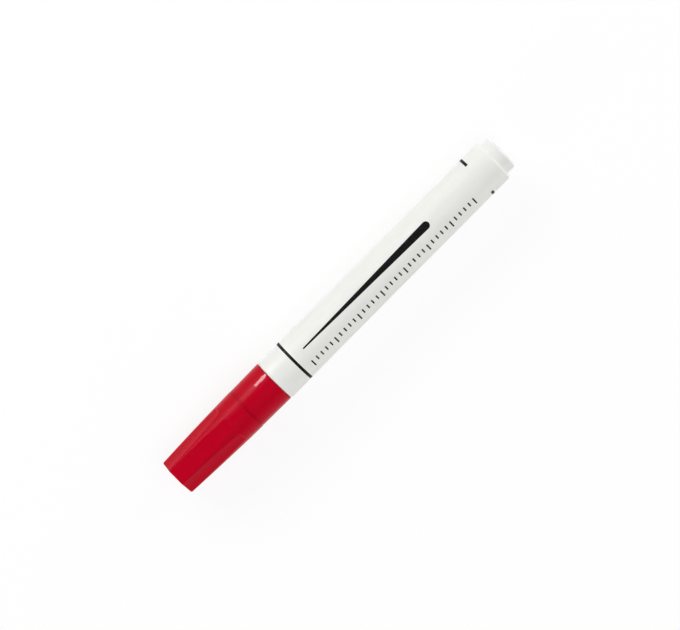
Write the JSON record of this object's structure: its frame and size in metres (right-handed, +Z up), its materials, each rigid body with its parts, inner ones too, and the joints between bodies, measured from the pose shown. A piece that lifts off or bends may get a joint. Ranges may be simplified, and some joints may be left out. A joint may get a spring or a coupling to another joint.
{
  "type": "paint marker",
  "caption": "Capped valve-action paint marker: fluted red pull-off cap over a sprung felt nib, white barrel with a loose mixing ball, rear plug.",
  "frame": {"origin": "on the ground under the middle of the capped pen lying on its side", "axes": "+X along the pen from the cap to the rear plug, +Z up"},
  "size_m": [0.142, 0.015, 0.0151],
  "materials": {
    "cap_plastic": "red moulded plastic, satin gloss",
    "liner_plastic": "soft natural plastic",
    "barrel_plastic": "white moulded plastic with black printed rings",
    "plug_plastic": "white moulded plastic",
    "section_plastic": "white moulded plastic",
    "nib_felt": "pressed felt",
    "seat_rubber": "black rubber",
    "valve_plastic": "natural plastic",
    "spring_steel": "drawn spring wire",
    "ball_steel": "polished steel"
  },
  "bodies": {
    "barrel": {"barrel": "barrel_plastic", "rear_plug": "plug_plastic", "front_section": "section_plastic", "valve_seat": "seat_rubber", "valve_cage": "valve_plastic", "valve_spring": "spring_steel"},
    "cap": {"cap": "cap_plastic", "inner_cap": "liner_plastic"},
    "nib": {"nib": "nib_felt"},
    "valve_stem": {"valve_stem": "valve_plastic"},
    "mixing_ball": {"mixing_ball": "ball_steel"}
  },
  "joints": [
    {"name": "cap_pull", "type": "slide", "parent": "barrel", "child": "cap", "axis": [-1, 0, 0], "range_m": [0, 0.045]},
    {"name": "nib_press", "type": "slide", "parent": "barrel", "child": "nib", "axis": [1, 0, 0], "range_m": [0, 0.0015], "stiffness_N_per_m": 800, "springref_m": -0.002, "deforming": ["valve_spring"]},
    {"name": "valve_lift", "type": "slide", "parent": "barrel", "child": "valve_stem", "axis": [1, 0, 0], "range_m": [0, 0.0015]},
    {"name": "ball_run", "type": "slide", "parent": "barrel", "child": "mixing_ball", "axis": [1, 0, 0], "range_m": [-0.0255, 0.0285]}
  ],
  "couplings": [
    {"joint": "valve_lift", "follows": "nib_press", "ratio": 1}
  ]
}
